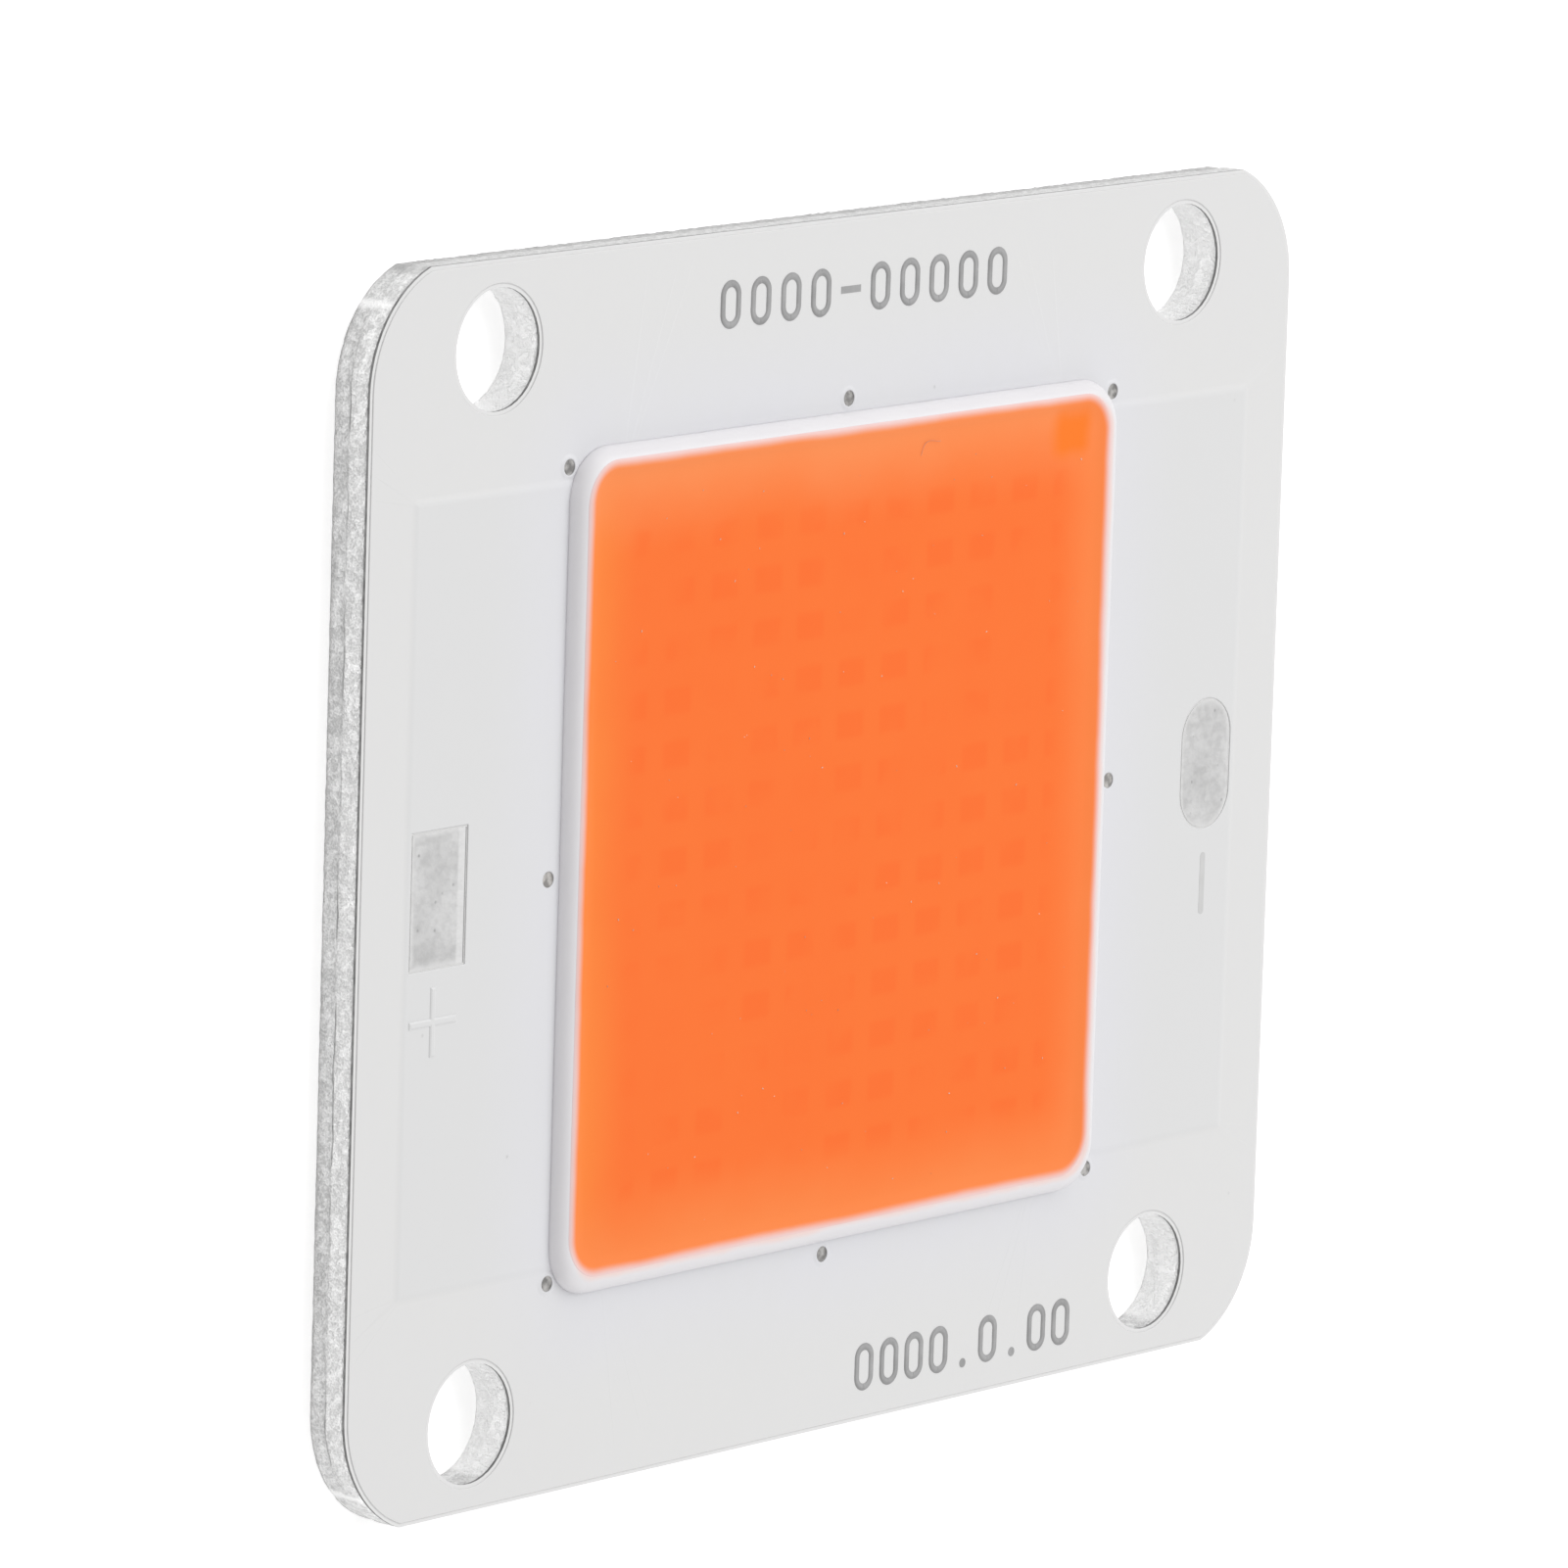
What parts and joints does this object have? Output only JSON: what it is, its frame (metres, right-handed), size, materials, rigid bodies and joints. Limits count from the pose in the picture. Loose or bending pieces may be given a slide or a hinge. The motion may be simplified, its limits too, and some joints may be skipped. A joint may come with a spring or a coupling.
{
  "type": "cob led",
  "caption": "Flat chip-on-board LED module: square orange light-emitting area inside a white silicone dam on a rectangular aluminium-core board with corner holes and two solder pads.",
  "frame": {"origin": "centre of the back face of the aluminium core, which is the lowest face", "axes": "+Z out of the light-emitting side, square to the board; +X along the long side, from the positive pad to the negative pad; +Y along the short side, towards the upper marking"},
  "size_m": [0.046, 0.04, 0.0021],
  "materials": {
    "board_aluminium": "bright rolled aluminium sheet, punched grey edges with a burnished and a fractured band",
    "laminate": "thin grey-brown glass-filled resin sheet",
    "copper": "copper foil with a dull tin finish where it is bare",
    "pad_tin": "dull mottled tin",
    "white_mask": "satin white solder mask",
    "dam_silicone": "smooth white silicone bead",
    "phosphor_silicone": "cured silicone loaded with orange phosphor, smooth and satin",
    "die_adhesive": "cured clear die adhesive",
    "chip_sapphire": "polished sapphire chip",
    "gold_wire": "bright gold wire"
  },
  "bodies": {
    "root": {"base_plate": "board_aluminium", "insulating_laminate": "laminate", "positive_bus": "copper", "negative_bus": "copper", "alignment_marks": "copper", "positive_pad_tin": "pad_tin", "negative_pad_tin": "pad_tin", "solder_mask": "white_mask", "dam": "dam_silicone", "phosphor_fill": "phosphor_silicone", "die_attach_1": "die_adhesive", "die_attach_2": "die_adhesive", "die_attach_3": "die_adhesive", "die_attach_4": "die_adhesive", "die_attach_5": "die_adhesive", "die_attach_6": "die_adhesive", "die_attach_7": "die_adhesive", "die_attach_8": "die_adhesive", "die_attach_9": "die_adhesive", "die_attach_10": "die_adhesive", "die_attach_11": "die_adhesive", "die_attach_12": "die_adhesive", "chip_row_1": "chip_sapphire", "chip_row_2": "chip_sapphire", "chip_row_3": "chip_sapphire", "chip_row_4": "chip_sapphire", "chip_row_5": "chip_sapphire", "chip_row_6": "chip_sapphire", "chip_row_7": "chip_sapphire", "chip_row_8": "chip_sapphire", "chip_row_9": "chip_sapphire", "chip_row_10": "chip_sapphire", "chip_row_11": "chip_sapphire", "chip_row_12": "chip_sapphire", "bond_wires_1": "gold_wire", "bond_wires_2": "gold_wire", "bond_wires_3": "gold_wire", "bond_wires_4": "gold_wire", "bond_wires_5": "gold_wire", "bond_wires_6": "gold_wire", "bond_wires_7": "gold_wire", "bond_wires_8": "gold_wire", "bond_wires_9": "gold_wire", "bond_wires_10": "gold_wire", "bond_wires_11": "gold_wire", "bond_wires_12": "gold_wire"}
  },
  "joints": []
}
